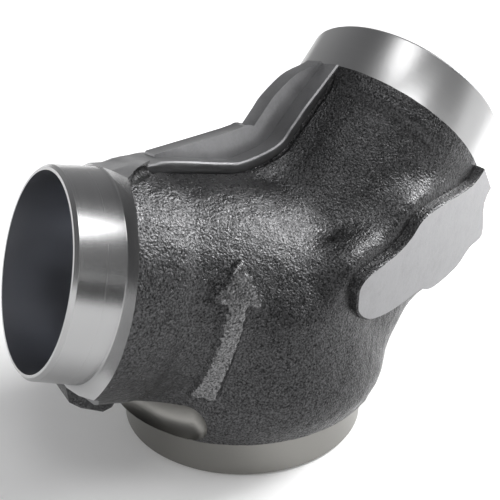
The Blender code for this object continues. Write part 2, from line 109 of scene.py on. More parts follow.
# The flats sheared across the outlet collar, above and below: places across (y, front to back), then
# for each depth the flat's height at each of them, all in R.
TRIM_ABOVE_Y = (-0.8, -0.28, 0.28, 0.55, 1.2)
TRIM_ABOVE = [
    (0.3, (1.075, 1.078, 1.05, 0.94, 0.36)), (0.43, (1.075, 1.078, 1.05, 0.94, 0.36)),
    (0.6, (1.165, 1.165, 1.09, 1.01, 0.5)), (0.8, (1.213, 1.213, 1.18, 1.13, 0.8)),
    (1.05, (1.26, 1.26, 1.26, 1.26, 1.26)),
]
TRIM_BELOW_Y = (-0.88, -0.575, -0.285, 0.0, 0.525, 1.2)
TRIM_BELOW = [
    (0.3, (0.88, 0.996, 1.063, 1.075, 0.93, 0.36)), (0.47, (0.88, 0.996, 1.063, 1.075, 0.93, 0.36)),
    (0.8, (1.26, 1.26, 1.26, 1.26, 1.26, 1.26)),
]
TRIM_REACH = 1.9  # in R, past everything that is sheared off

# The flat pad on the access leg, and its outline as (depth, distance across) in R.
PAD_TURN, PAD_REACH = radians(77), 1.44 * R
PAD_DEPTH, PAD_DRAFT, PAD_EDGE = 0.5 * R, 1.5 * MM, 0.5 * MM
BOSS_DROP, BOSS_GROW, BOSS_FLARE = 3.0 * MM, 5.0 * MM, 2.0 * MM
PAD_STEPS, PAD_FACE_SLACK, PAD_FACE_COSINE = 4, 0.2 * MM, 0.9
PAD = [
    (2.72, -0.95), (2.62, -1.04), (2.46, -1.01), (2.1, -0.75), (1.86, -0.65), (1.62, -0.63), (1.34, -0.43),
    (0.82, 0.02), (0.45, 0.1), (0.42, 0.5), (0.75, 0.62), (0.97, 1.1), (1.26, 0.96), (1.58, 0.9),
    (1.99, 0.58), (2.13, 0.3), (2.46, -0.01), (2.66, -0.24), (2.8, -0.5), (2.82, -0.78),
]

# The hollow over the inlet ring: distance from the inlet axis, height, radius and how far it runs round.
COVE = (1.72 * R, 0.74 * R, 0.24 * R)
COVE_ARC = (radians(158), radians(216))
COVE_SIDES, COVE_RUN_STEPS, COVE_BALL_STEPS, COVE_BALL_SIDES = 32, 64, 24, 48

# The flow arrow cast on the front: its middle, its lean to the right of upright and its sizes. Its
# head is ARROW_HEAD to each side. The slope of its flank runs from ARROW_FOOT to ARROW_TOP inside it.
ARROW_PLACE, ARROW_LEAN = Vector((-43.5 * MM, 0.0, 53.0 * MM)), radians(17)
ARROW_LENGTH, ARROW_SHAFT, ARROW_HEAD, ARROW_HEIGHT = 42.0 * MM, 6.5 * MM, 8.5 * MM, 1.7 * MM
ARROW_HEAD_LENGTH, ARROW_OVERLAP, ARROW_FLANK = 1.5 * ARROW_HEAD, 1 * MM, 0.83
ARROW_FOOT, ARROW_TOP = -0.5 * MM, 0.7 * MM

# Inside: depths from the access face and radii, then the outlet's, the inlet's and the tapped holes'.
# CUT_CLEARANCE is how far a bore's cutter starts outside its face.
CUT_CLEARANCE = 2 * MM
SHELF_DEPTH = 12.0 * MM
NECK_RADIUS, NECK_END = 23.5 * MM, 27.5 * MM
CHAMBER_RADIUS, CHAMBER_END = 31.0 * MM, 79.5 * MM
SEAT_RADIUS, SEAT_END = 20.3 * MM, 86.0 * MM
INLET_PASSAGE, PASSAGE_RUN = 15.0 * MM, 22.0 * MM
OUTLET_BORE_DEPTH = 29.0 * MM
OUTLET_PASSAGE, OUTLET_PASSAGE_WIDENING, OUTLET_PASSAGE_OVERLAP = 12.5 * MM, 1.6, 4 * MM
OUTLET_PASSAGE_END = (10.0 * MM, 78.0 * MM)
INLET_BORE_PROFILE = [(40.0, 17.0), (36.0, 21.0), (22.0, 29.0), (12.0, 32.0)]
BOLT_COUNT, BOLT_CIRCLE = 6, 28.5 * MM
TAPPED_RADIUS, TAPPED_END, TAPPED_OVERLAP, TAPPED_SIDES = 2.7 * MM, 24.0 * MM, 1 * MM, 24

# The studio. Softboxes: name, place, size and watts, all aimed at LIGHT_TARGET.
LIGHTS = [
    ("key_right", (0.31, -0.33, 0.71), (0.34, 0.26), 1.6),
    ("side_right", (0.65, -0.15, 0.5), (0.34, 0.3), 8.5),
    ("fill_left", (-0.16, -0.32, 0.86), (0.34, 0.26), 1.3),
]
LIGHT_TARGET = (0.0, 0.0, 0.065)
CARD_PLACE, CARD_TARGET, CARD_SIZE = (0.0, -0.42, 0.075), (0.0, 0.0, 0.075), (0.36, 0.15)
FLOOR_PROFILE = [(2.4, 0.0), (2.7, 0.03), (2.95, 0.13), (3.1, 0.32), (3.2, 0.8)]  # radius, height
FLOOR_SEGMENTS = 96
# The world from front (-Y, 0) to back (+Y, 1): place, grey level and how much bluer than grey.
WORLD_LEVELS = [(0.0, 0.26, 1.0), (0.3, 0.22, 1.02), (0.6, 0.18, 1.02), (0.8, 0.3, 1.02), (1.0, 0.5, 1.0)]
CAMERA_PLACE, CAMERA_BACK = (-0.121, -0.1591, 0.131), (-0.539, -0.767, 0.348)
CAMERA_UP, LENS, SENSOR, CLIP_START = (0.198, 0.287, 0.937), 42.5, 36.0, 0.01

# Which material each face of the body takes.
ROUGH, OUTLET_TURNED, ACCESS_TURNED, INLET_TURNED, TRIMMED, BORE, WORN_PAINTED_HIGHLIGHT = range(7)


class Port:
    """A pipe axis: its end face's middle, the way out of it and the in-plane way across it."""

    def __init__(self, face, outward):
        self.face = Vector((face[0] + INLET_X, 0, face[1]))
        self.outward = Vector((outward[0], 0, outward[1])).normalized()
        self.inward = -self.outward
        self.across = Vector((-self.outward.z, 0, self.outward.x))
        if self.across.z < 0:
            self.across = -self.across

    def matrix(self):
        """Local +Z runs inwards from the end face."""
        side = self.inward.cross(self.across)
        turn = Matrix((self.across, side, self.inward)).transposed().to_4x4()
        return Matrix.Translation(self.face) @ turn

    def point(self, depth, radius, y=0.0):
        """The point at that depth and in-plane radius, on the axis's upper side."""
        place = self.face + self.inward * depth + self.across * radius
        return Vector((place.x, y, place.z))


OUTLET = Port(OUTLET_FACE, (-cos(OUTLET_TILT), sin(OUTLET_TILT)))
ACCESS = Port(ACCESS_FACE, (cos(ACCESS_TILT), sin(ACCESS_TILT)))
INLET = Port((0.0, 0.0), (0.0, -1.0))


# ---------------------------------------------------------------- materials


def fill_ramp(node, stops):
    """Give a colour ramp its stops, each a (position, colour)."""
    elements = node.color_ramp.elements
    elements[0].position, elements[0].color = stops[0][0], (*stops[0][1], 1.0)
    elements[1].position, elements[1].color = stops[-1][0], (*stops[-1][1], 1.0)
    for position, colour in stops[1:-1]:
        elements.new(position).color = (*colour, 1.0)


def shade(colour, share):
    """The colour made lighter or darker."""
    return tuple(share * c for c in colour)


class Look:
    """A Principled material and the few nodes that its pattern needs."""

    def __init__(self, name, colour, metallic, roughness):
        self.material = bpy.data.materials.new(name)
        self.material.use_nodes = True
        self.tree = self.material.node_tree
        self.shader = self.tree.nodes["Principled BSDF"]
        self.shader.inputs["Base Color"].default_value = (*colour, 1.0)
        self.shader.inputs["Metallic"].default_value = metallic
        self.shader.inputs["Roughness"].default_value = roughness
        self.place = self.tree.nodes.new("ShaderNodeTexCoord").outputs["Object"]

    def link(self, source, target):
        self.tree.links.new(source, target)

    def noise(self, scale, detail=2.0, vector=None, roughness=0.5):
        node = self.tree.nodes.new("ShaderNodeTexNoise")
        node.inputs["Scale"].default_value = scale
        node.inputs["Detail"].default_value = detail
        node.inputs["Roughness"].default_value = roughness
        self.link(vector or self.place, node.inputs["Vector"])
        return node.outputs["Fac"]

    def cells(self, scale):
        node = self.tree.nodes.new("ShaderNodeTexVoronoi")
        node.feature = "SMOOTH_F1"
        node.inputs["Scale"].default_value = scale
        node.inputs["Smoothness"].default_value = 0.6
        self.link(self.place, node.inputs["Vector"])
        return node.outputs["Distance"]

    def ramp(self, value, stops):
        node = self.tree.nodes.new("ShaderNodeValToRGB")
        fill_ramp(node, stops)
        self.link(value, node.inputs["Fac"])
        return node.outputs["Color"]

    def span(self, value, low, high, start=0.0, stop=1.0):
        """The value stretched from start..stop to low..high."""
        node = self.tree.nodes.new("ShaderNodeMapRange")
        for key, number in (("From Min", start), ("From Max", stop), ("To Min", low), ("To Max", high)):
            node.inputs[key].default_value = number
        self.link(value, node.inputs["Value"])
        return node.outputs["Result"]

    def sum(self, first, second, share):
        """first plus share times second."""
        node = self.tree.nodes.new("ShaderNodeMath")
        node.operation = "MULTIPLY_ADD"
        self.link(second, node.inputs[0])
        node.inputs[1].default_value = share
        self.link(first, node.inputs[2])
        return node.outputs["Value"]

    def with_number(self, operation, value, number):
        """A Math node on a value and a plain number."""
        node = self.tree.nodes.new("ShaderNodeMath")
        node.operation = operation
        self.link(value, node.inputs[0])
        node.inputs[1].default_value = number
        return node.outputs["Value"]

    def length(self, vector):
        node = self.tree.nodes.new("ShaderNodeVectorMath")
        node.operation = "LENGTH"
        self.link(vector, node.inputs[0])
        return node.outputs["Value"]

    def bump(self, height, distance):
        node = self.tree.nodes.new("ShaderNodeBump")
        node.inputs["Distance"].default_value = distance
        node.inputs["Strength"].default_value = 1.0
        self.link(height, node.inputs["Height"])
        self.link(node.outputs["Normal"], self.shader.inputs["Normal"])

    def colour_from(self, value, stops):
        self.link(self.ramp(value, stops), self.shader.inputs["Base Color"])

    def roughness_from(self, value, low, high):
        """Roughness from low to high over the middle part of a noise."""
        self.link(self.span(value, low, high, 0.3, 0.7), self.shader.inputs["Roughness"])

    def turning(self, port, pitch):
        """A place that changes along a port's axis and away from it, and hardly round it."""
        to_port = port.matrix().inverted()
        parts = []
        for row in (to_port.row[k] for k in range(3)):
            dot = self.tree.nodes.new("ShaderNodeVectorMath")
            dot.operation = "DOT_PRODUCT"
            self.link(self.place, dot.inputs[0])
            dot.inputs[1].default_value = row[:3]
            parts.append(self.with_number("ADD", dot.outputs["Value"], row[3]))
        joined = self.tree.nodes.new("ShaderNodeCombineXYZ")
        self.link(parts[0], joined.inputs["X"])
        self.link(parts[1], joined.inputs["Y"])
        away = self.length(joined.outputs["Vector"])
        place = self.tree.nodes.new("ShaderNodeCombineXYZ")
        self.link(self.with_number("MULTIPLY", away, 1.0 / pitch), place.inputs["X"])
        self.link(self.with_number("MULTIPLY", parts[2], 1.0 / pitch), place.inputs["Y"])
        return place.outputs["Vector"]


def cast_look(name, colour, roughness, relief):
    """Shot-blasted dark steel: pits and grains that catch the light."""
    look = Look(name, colour, metallic=0.9, roughness=roughness)
    grain = look.noise(scale=1750.0, roughness=0.6)
    height = look.sum(grain, look.cells(scale=1050.0), share=0.55)
    height = look.sum(height, look.noise(scale=330.0), share=0.5)
    look.bump(height, relief)
    look.colour_from(grain, [(0.32, shade(colour, 0.2)), (0.74, shade(colour, 1.8))])
    look.roughness_from(look.noise(scale=420.0), roughness - 0.1, roughness + 0.1)
    return look.material


def turned_look(name, port, colour, roughness):
    """Steel from the lathe: fine rings about the port's axis."""
    look = Look(name, colour, metallic=1.0, roughness=roughness)
    rings = look.noise(scale=1.0, detail=3.0, vector=look.turning(port, pitch=0.16 * MM), roughness=0.6)
    look.bump(rings, distance=0.012 * MM)
    cloud = look.noise(scale=30.0, detail=1.0)
    look.roughness_from(rings, roughness - 0.02, roughness + 0.04)
    look.colour_from(look.sum(cloud, rings, share=0.4), [(0.3, shade(colour, 0.88)), (0.9, colour)])
    return look.material


def trimmed_look():
    """Sheared and ground steel on the parting line: even, satin and a little drawn."""
    look = Look("trimmed_steel", (0.24, 0.24, 0.245), metallic=0.9, roughness=0.4)
    cloud = look.noise(scale=160.0, detail=4.0, roughness=0.6)
    fine = look.noise(scale=1500.0, detail=1.0)
    look.bump(look.sum(cloud, fine, share=0.12), distance=0.14 * MM)
    look.roughness_from(cloud, 0.36, 0.5)
    stops = [(0.3, (0.21, 0.21, 0.215)), (0.7, (0.28, 0.28, 0.286))]
    look.colour_from(look.sum(cloud, fine, share=0.25), stops)
    return look.material


def plain_metal_look(name, colour, roughness, port=None):
    """Stainless, zinc plate or brass, with faint tool rings or mill grain."""
    look = Look(name, colour, metallic=1.0, roughness=roughness)
    cloud = look.noise(scale=220.0, detail=4.0, roughness=0.6)
    if port:
        marks = look.noise(scale=1.0, vector=look.turning(port, pitch=0.2 * MM))
    else:
        marks = look.noise(scale=1900.0)
    look.bump(marks, distance=0.01 * MM)
    look.roughness_from(cloud, roughness - 0.06, roughness + 0.1)
    look.colour_from(look.sum(cloud, marks, share=0.3), [(0.3, shade(colour, 0.8)), (0.7, colour)])
    return look.material


def graphite_look():
    look = Look("graphite_sheet", (0.05, 0.05, 0.055), metallic=0.15, roughness=0.6)
    flakes = look.noise(scale=900.0, detail=3.0)
    look.bump(flakes, distance=0.06 * MM)
    look.colour_from(flakes, [(0.35, (0.03, 0.03, 0.033)), (0.7, (0.1, 0.1, 0.11))])
    return look.material


def floor_look():
    """Pale and matt, with a glow that grows away from the middle, so that it ends up white."""
    look = Look("pale_floor", (0.86, 0.86, 0.86), metallic=0.0, roughness=0.9)
    grain = look.noise(scale=60.0, detail=3.0)
    look.colour_from(grain, [(0.3, (0.85, 0.85, 0.85)), (0.7, (0.87, 0.87, 0.87))])
    look.shader.inputs["Emission Color"].default_value = (1, 1, 1, 1)
    glow = look.span(look.length(look.place), low=0.12, high=0.85, start=0.1, stop=0.8)
    look.link(glow, look.shader.inputs["Emission Strength"])
    return look.material


def body_looks():
    """The body's materials, in the order of its face numbers."""
    bright = (0.43, 0.43, 0.432)
    return [
        cast_look("cast_steel", (0.062, 0.062, 0.0635), 0.33, 0.24 * MM),
        turned_look("turned_outlet", OUTLET, bright, 0.24),
        turned_look("turned_access", ACCESS, bright, 0.3),
        # The inlet ring's steel is darker than the other rings': painted shade, for the dim floor by its
        # foot that it reflects. The cove takes it too.
        turned_look("turned_inlet", INLET, (0.27, 0.265, 0.25), 0.34),
        trimmed_look(),
        turned_look("dark_bore", OUTLET, (0.5, 0.51, 0.54), 0.3),
        # The arrow's top: worn steel, its colour made lighter partly from wear and partly as a painted
        # highlight.
        cast_look("worn_arrow_painted_highlight", (0.15, 0.15, 0.152), 0.32, 0.14 * MM),
    ]


# ---------------------------------------------------------------- mesh tools


def add_mesh(name, mesh_data, looks):
    """Put the mesh into the scene as an object with these materials."""
    mesh = bpy.data.meshes.new(name)
    mesh_data.to_mesh(mesh)
    mesh_data.free()
    for look in looks:
        mesh.materials.append(look)
    item = bpy.data.objects.new(name, mesh)
    bpy.context.scene.collection.objects.link(item)
    return item


def new_object(name, mesh_data, face_number):
    """A mesh object with its normals facing out and all its faces of one number."""
    bmesh.ops.recalc_face_normals(mesh_data, faces=mesh_data.faces)
    for face in mesh_data.faces:
        face.material_index = face_number
    return add_mesh(name, mesh_data, LOOKS)


def circle(mesh_data, radius, height, segments):
    """A ring of new vertices about the axis."""
    angles = [2 * pi * k / segments for k in range(segments)]
    return [mesh_data.verts.new((radius * cos(a), radius * sin(a), height)) for a in angles]


def revolve(name, profile, matrix, face_number, segments=144, closed=False, arc=None):
    """Turn (radius, depth) points about the axis, all round it or over an arc.

    A closed profile makes a ring.
    """
    mesh_data = bmesh.new()
    start, stop = arc or (0.0, 2 * pi)
    count = segments if arc is None else segments + 1
    rings = []
    for radius, depth in profile:
        if radius == 0.0:
            rings.append([mesh_data.verts.new((0, 0, depth))] * count)
            continue
        angles = [start + (stop - start) * k / segments for k in range(count)]
        rings.append([mesh_data.verts.new((radius * cos(a), radius * sin(a), depth)) for a in angles])
    pairs = list(zip(rings, rings[1:]))
    if closed:
        pairs.append((rings[-1], rings[0]))
    for low, high in pairs:
        for k in range(segments):
            after = (k + 1) % count
            corners = []
            for corner in (low[k], low[after], high[after], high[k]):
                if corner not in corners:
                    corners.append(corner)
            if len(corners) > 2:
                mesh_data.faces.new(corners)
    if arc is not None:
        mesh_data.faces.new([ring[0] for ring in rings])
        mesh_data.faces.new([ring[-1] for ring in rings])
    mesh_data.transform(matrix)
    return new_object(name, mesh_data, face_number)


def loft(name, sections, face_number):
    """Join closed sections of equal length into a tube with flat ends."""
    mesh_data = bmesh.new()
    rings = [[mesh_data.verts.new(point) for point in section] for section in sections]
    for low, high in zip(rings, rings[1:]):
        for k in range(len(low)):
            after = (k + 1) % len(low)
            mesh_data.faces.new((low[k], low[after], high[after], high[k]))
    mesh_data.faces.new(rings[0])
    mesh_data.faces.new(rings[-1])
    return new_object(name, mesh_data, face_number)


def smooth_line(points, steps, closed=False):
    """Points along a Catmull-Rom curve through the given ones."""
    count = len(points)
    spans = count if closed else count - 1
    line = []
    for k in range(spans):
        if closed:
            a, b, c, d = (points[(k + n) % count] for n in (-1, 0, 1, 2))
        else:
            a, b = points[max(k - 1, 0)], points[k]
            c, d = points[k + 1], points[min(k + 2, count - 1)]
        for n in range(steps):
            t = n / steps
            line.append(0.5 * (2 * b + (c - a) * t + (2 * a - 5 * b + 4 * c - d) * t**2
                               + (3 * b - a - 3 * c + d) * t**3))
    if not closed:
        line.append(points[-1])
    return line


def apply_modifiers(item):
    """Replace the object's mesh with what its modifiers make of it."""
    evaluated = item.evaluated_get(bpy.context.evaluated_depsgraph_get())
    mesh = bpy.data.meshes.new_from_object(evaluated)
    item.modifiers.clear()
    item.data = mesh


def remesh(item, voxel, smoothing):
    """One closed skin over everything in the object, its creases filleted."""
    skin = item.modifiers.new("skin", "REMESH")
    skin.mode = "VOXEL"
    skin.voxel_size = voxel
    fillets = item.modifiers.new("fillets", "SMOOTH")
    fillets.factor = 0.5
    fillets.iterations = smoothing
    apply_modifiers(item)


def combine(item, others, operation):
    """Join closed pieces on, or cut them out, and drop them. The new faces keep their numbers."""
    for other in others:
        boolean = item.modifiers.new(other.name, "BOOLEAN")
        boolean.operation = operation
        boolean.solver = "MANIFOLD"
        boolean.object = other
        apply_modifiers(item)
        bpy.data.objects.remove(other)


def gather(item, others):
    """Put the other objects' meshes into the first one's, without joining surfaces."""
    mesh_data = bmesh.new()
    mesh_data.from_mesh(item.data)
    for other in others:
        mesh_data.from_mesh(other.data)
        bpy.data.objects.remove(other)
    mesh_data.to_mesh(item.data)
    mesh_data.free()


# ---------------------------------------------------------------- the body


def leg(name, port, outline):
    """One limb of the rough skin, from its (depth, radius) outline in R."""
    profile = [(0.0, outline[0][0] * R)]
    profile += [(radius * R, depth * R) for depth, radius in outline]
    profile.append((0.0, (outline[-1][0] + 0.15) * R))
    return revolve(name, profile, port.matrix(), ROUGH)


def port_points(port, points, side=1.0):
    """Points from (depth, radius) in R, on the upper side of the axis (1) or the lower (-1)."""
    return [port.point(depth * R, side * radius * R) for depth, radius in points]


def bead_rim():
    """The bead's rim from the outlet ring over the crotch to the access ring."""
    return smooth_line(port_points(OUTLET, BEAD_ON_OUTLET) + port_points(ACCESS, BEAD_ON_ACCESS), RIM_STEPS)


def band(name, edges, face_number):
    """A band along the rim, its section given as (half width, drop below the rim) down one side."""
    rim = bead_rim()
    sections = []
    for k, point in enumerate(rim):
        along = (rim[min(k + 1, len(rim) - 1)] - rim[max(k - 1, 0)]).normalized()
        up = Vector((-along.z, 0, along.x))
        section = []
        for side in (1, -1):
            points = [point + Vector((0, side * y, 0)) - up * drop for y, drop in edges]
            section += points if side == 1 else points[::-1]
        sections.append(section)
    return loft(name, sections, face_number)


def bead():
    """The broad flat band, undercut along both sides."""
    return band("bead", BEAD_EDGES, TRIMMED)


def ridge():
    """The rough metal that swells up under the band, which the skin then rounds over."""
    return band("ridge", [(RIDGE_HALF, RIDGE_DROP), (RIDGE_HALF * RIDGE_WIDENING, BEAD_FOOT)], ROUGH)


def trim(name, across, levels, side):
    """What the shears took off the outlet collar beyond a flat on its upper (1) or lower (-1) side."""
    sections = []
    for depth, heights in levels:
        corners = list(zip(across, heights)) + [(across[-1], TRIM_REACH), (across[0], TRIM_REACH)]
        sections.append([OUTLET.point(depth * R, side * height * R, y * R) for y, height in corners])
    return loft(name, sections, TRIMMED)


def crease(body, side):
    """The dark undercut that follows the band's edge, sunk into the skin."""
    skin = BVHTree.FromObject(body, bpy.context.evaluated_depsgraph_get())
    path = []
    for point in bead_rim():
        depth = (point - OUTLET.face).dot(OUTLET.inward)
        access_depth = (point - ACCESS.face).dot(ACCESS.inward)
        spread = max(0.0, min(1.0, (SPREAD_FROM - depth) / SPREAD_RUN)) ** SPREAD_CURVE
        across = BEAD_HALF + (SPREAD_TO - BEAD_HALF) * spread * (side < 0)
        if depth > CREASE_START and access_depth > ACCESS_SHOULDER + CREASE:
            path.append(skin.find_nearest(point + Vector((0, side * (across + CREASE_OFFSET), 0)))[0])
    path = smooth_line(path[::2], CREASE_STEPS)
    sections = []
    for k, point in enumerate(path):
        along = (path[min(k + 1, len(path) - 1)] - path[max(k - 1, 0)]).normalized()
        first = along.cross(Vector((0, 1, 0))).normalized()
        second = along.cross(first)
        from_ends = min(k, len(path) - 1 - k)
        radius = CREASE * min(1.0, CREASE_TIP + from_ends / CREASE_FADE)
        turns = [2 * pi * n / CREASE_SIDES for n in range(CREASE_SIDES)]
        sections.append([point + first * (radius * cos(a)) + second * (radius * sin(a)) for a in turns])
    return loft("crease", sections, ROUGH)


def slab(name, rim, inside, y_range, face_number, edge):
    """A flat plate across the parting plane with its front and back edges eased."""
    outline = rim + inside
    middle = sum(outline, Vector()) / len(outline)
    sections = []
    low, high = y_range
    for y, shrink in ((low, edge), (low + edge, 0.0), (high - edge, 0.0), (high, edge)):
        sections.append([p - (p - middle).normalized() * shrink + Vector((0, y, 0)) for p in outline])
    return loft(name, sections, face_number)


def web():
    """The thin fin of metal left behind the bead."""
    rim = smooth_line(port_points(OUTLET, WEB_ON_OUTLET), WEB_STEPS)
    rim += smooth_line(port_points(ACCESS, WEB_ON_ACCESS), WEB_STEPS)
    inside = port_points(ACCESS, [(0.3, 1.1), (2.0, 1.1)]) + port_points(OUTLET, [(0.95, 1.1)])
    return slab("web", rim, inside, WEB_Y, TRIMMED, WEB_EDGE)


def lug():
    """The stub of the parting line under the outlet."""
    return slab("lug", port_points(OUTLET, LUG, -1.0), [], (-BEAD_HALF, BEAD_HALF), ROUGH, LUG_EDGE)


def pad_loft(name, levels):
    """The pad's outline at several (drop below its face, growth) levels, and its outward normal."""
    down, front = -ACCESS.across, Vector((0, -1, 0))
    normal = down * cos(PAD_TURN) + front * sin(PAD_TURN)
    sideways = down * sin(PAD_TURN) - front * cos(PAD_TURN)
    base = ACCESS.face + normal * PAD_REACH
    outline = smooth_line([Vector((depth * R, across * R)) for depth, across in PAD], PAD_STEPS, closed=True)
    count = len(outline)
    turned = []
    for k, point in enumerate(outline):
        along = (outline[(k + 1) % count] - outline[k - 1]).normalized()
        turned.append(Vector((along.y, -along.x)))
    area = sum(outline[k].cross(outline[(k + 1) % count]) for k in range(count))
    out = 1.0 if area > 0 else -1.0
    sections = []
    for drop, grow in levels:
        section = []
        for point, away in zip(outline, turned):
            flat = point + away * (out * grow)
            section.append(base + ACCESS.inward * flat.x + sideways * flat.y - normal * drop)
        sections.append(section)
    return loft(name, sections, ROUGH), base, normal


def pad_boss():
    """The swelling under the pad, which the skin then rounds over."""
    return pad_loft("pad_boss", [(BOSS_DROP, BOSS_GROW), (PAD_DEPTH, BOSS_GROW + BOSS_FLARE)])[0]


def pad():
    """The flat pad: a low drafted step with a sheared face."""
    levels = [(0.0, -PAD_EDGE), (PAD_EDGE, 0.0), (PAD_DEPTH, PAD_DRAFT)]
    item, base, normal = pad_loft("pad", levels)
    for face in item.data.polygons:
        height = (face.center - base).dot(normal)
        if abs(face.normal.dot(normal)) > PAD_FACE_COSINE and height > -PAD_FACE_SLACK:
            face.material_index = TRIMMED
    return item


def turning(name, port, ring, shoulder, reach, face_number, taper=0.0):
    """What the lathe takes off round a weld end: beyond its face and round its ring."""
    profile = [
        (0.0, TURNED_FROM), (0.0, 0.0), (ring - BEVEL, 0.0), (ring, BEVEL),
        (ring + taper, shoulder - ROOT), (ring + taper + 0.3 * ROOT, shoulder - 0.3 * ROOT),
        (ring + taper + ROOT, shoulder), (reach, shoulder), (reach, TURNED_FROM),
    ]
    return revolve(name, profile, port.matrix(), face_number, closed=True)


def cove():
    """The machined hollow over the inlet ring under the outlet leg, with a round end."""
    reach, height, radius = COVE
    angles = [2 * pi * k / COVE_SIDES for k in range(COVE_SIDES)]
    profile = [(reach + radius * cos(a), height + radius * sin(a)) for a in angles]
    middle = Matrix.Translation((INLET_X, 0, 0))
    # The hollow takes the inlet ring's darker steel, with its painted shade.
    hollow = revolve("cove", profile, middle, INLET_TURNED, COVE_RUN_STEPS, closed=True, arc=COVE_ARC)
    end = Vector((reach * cos(COVE_ARC[1]) + INLET_X, reach * sin(COVE_ARC[1]), height))
    angles = [pi * k / COVE_BALL_STEPS for k in range(COVE_BALL_STEPS + 1)]
    ball = [(radius * sin(a), -radius * cos(a)) for a in angles]
    ball[0], ball[-1] = (0.0, -radius), (0.0, radius)
    return [hollow, revolve("cove_end", ball, Matrix.Translation(end), INLET_TURNED, COVE_BALL_SIDES)]


def bores():
    """The waterways, as in the CAD body but rounder."""
    outside = -CUT_CLEARANCE
    inlet = [(0.0, outside), (INLET_BORE, outside)] + [(r * MM, z * MM) for r, z in INLET_BORE_PROFILE]
    inlet.append((0.0, INLET_BORE_PROFILE[-1][1] * MM))
    access = [
        (0.0, outside), (ACCESS_BORE, outside), (ACCESS_BORE, SHELF_DEPTH), (NECK_RADIUS, SHELF_DEPTH),
        (NECK_RADIUS, NECK_END), (CHAMBER_RADIUS, NECK_END), (CHAMBER_RADIUS, CHAMBER_END),
        (SEAT_RADIUS, CHAMBER_END), (SEAT_RADIUS, SEAT_END), (INLET_PASSAGE, SEAT_END),
        (INLET_PASSAGE, SEAT_END + PASSAGE_RUN), (0.0, SEAT_END + PASSAGE_RUN),
    ]
    outlet = [
        (0.0, outside), (OUTLET_BORE, outside), (OUTLET_BORE, OUTLET_BORE_DEPTH), (0.0, OUTLET_BORE_DEPTH),
    ]
    start = OUTLET.point(OUTLET_BORE_DEPTH - OUTLET_PASSAGE_OVERLAP, 0.0)
    run = Vector((OUTLET_PASSAGE_END[0] + INLET_X, 0, OUTLET_PASSAGE_END[1])) - start
    along = run.normalized()
    turn = Matrix((Vector((0, 1, 0)).cross(along), Vector((0, OUTLET_PASSAGE_WIDENING, 0)), along))
    passage = [(0.0, 0.0), (OUTLET_PASSAGE, 0.0), (OUTLET_PASSAGE, run.length), (0.0, run.length)]
    cutters = [
        revolve("inlet_bore", inlet, Matrix.Translation((INLET_X, 0, 0)), BORE),
        revolve("access_bore", access, ACCESS.matrix(), BORE),
        revolve("outlet_bore", outlet, OUTLET.matrix(), BORE),
        revolve("passage", passage, Matrix.Translation(start) @ turn.transposed().to_4x4(), BORE),
    ]
    top = SHELF_DEPTH - TAPPED_OVERLAP
    hole = [(0.0, top), (TAPPED_RADIUS, top), (TAPPED_RADIUS, TAPPED_END), (0.0, TAPPED_END)]
    for number in range(BOLT_COUNT):
        angle = 2 * pi * (number + 0.5) / BOLT_COUNT
        offset = ACCESS.across * (BOLT_CIRCLE * cos(angle)) + Vector((0, BOLT_CIRCLE * sin(angle), 0))
        place = Matrix.Translation(offset) @ ACCESS.matrix()
        cutters.append(revolve("tapped_hole", hole, place, BORE, TAPPED_SIDES))
    return cutters


def step_between(value, low, high):
    """A smooth step from 0 at low to 1 at high."""
    t = np.clip((value - low) / (high - low), 0.0, 1.0)
    return t * t * (3 - 2 * t)


def groove_depth(place):
    """How far the skin dips beside the bead, where the trimmed band stands clear of it."""
    depth, off, width, reach = GROOVE
    rim = np.array([(p.x, p.z) for p in bead_rim()])
    flat = place[:, [0, 2]]
    nearest = np.full(len(place), np.inf)
    for point in rim:
        nearest = np.minimum(nearest, np.hypot(*(flat - point).T))
    beside = np.exp(-(((np.abs(place[:, 1]) - off) / width) ** 2))
    near = 1 - step_between(nearest, reach * 0.5, reach * 1.6)
    for port, shoulder in ((OUTLET, OUTLET_SHOULDER), (ACCESS, ACCESS_SHOULDER)):
        from_face = (place - np.array(port.face)) @ np.array(port.inward)
        near *= step_between(from_face, shoulder + 0.1 * R, shoulder + 0.5 * R)
    return depth * beside * near


def arrow_height(place, normal):
    """The relief of a plain flow arrow on the front of the body."""
    side = place - np.array(ARROW_PLACE)
    along = side[:, 0] * sin(ARROW_LEAN) + side[:, 2] * cos(ARROW_LEAN)
    across = np.abs(side[:, 0] * cos(ARROW_LEAN) - side[:, 2] * sin(ARROW_LEAN))
    half = ARROW_LENGTH / 2
    neck = half - ARROW_HEAD_LENGTH
    shaft = np.minimum(ARROW_SHAFT / 2 - across, np.minimum(along + half, neck - along + ARROW_OVERLAP))
    head = np.minimum((half - along) * (ARROW_HEAD / (half - neck)) - across, along - neck) * ARROW_FLANK
    inside = np.maximum(shaft, head)
    front = (place[:, 1] < 0) & (normal[:, 1] < -0.2)
    return ARROW_HEIGHT * step_between(inside, ARROW_FOOT, ARROW_TOP) * front


def rough_up(item):
    """Dip the skin along the bead, raise the arrow with its top worn and painted lighter as a highlight, and
    lay the cast lumps on.
    """
    mesh = item.data
    count = len(mesh.vertices)
    place, normal = np.empty(count * 3, np.float32), np.empty(count * 3, np.float32)
    mesh.vertices.foreach_get("co", place)
    mesh.vertices.foreach_get("normal", normal)
    place, normal = place.reshape(-1, 3).astype(float), normal.reshape(-1, 3).astype(float)
    arrow = arrow_height(place, normal)
    numbers = [ROUGH] * len(mesh.polygons)
    for face in mesh.polygons:
        if min(arrow[k] for k in face.vertices) > 0.5 * ARROW_HEIGHT:
            numbers[face.index] = WORN_PAINTED_HIGHLIGHT
    mesh.polygons.foreach_set("material_index", numbers)
    height = arrow - groove_depth(place)
    for size, tall in LUMP_SIZES:
        height += tall * np.array([noise.noise(Vector(p) / size) for p in place])
    mesh.vertices.foreach_set("co", (place + normal * height[:, None]).astype(np.float32).ravel())
    mesh.update()


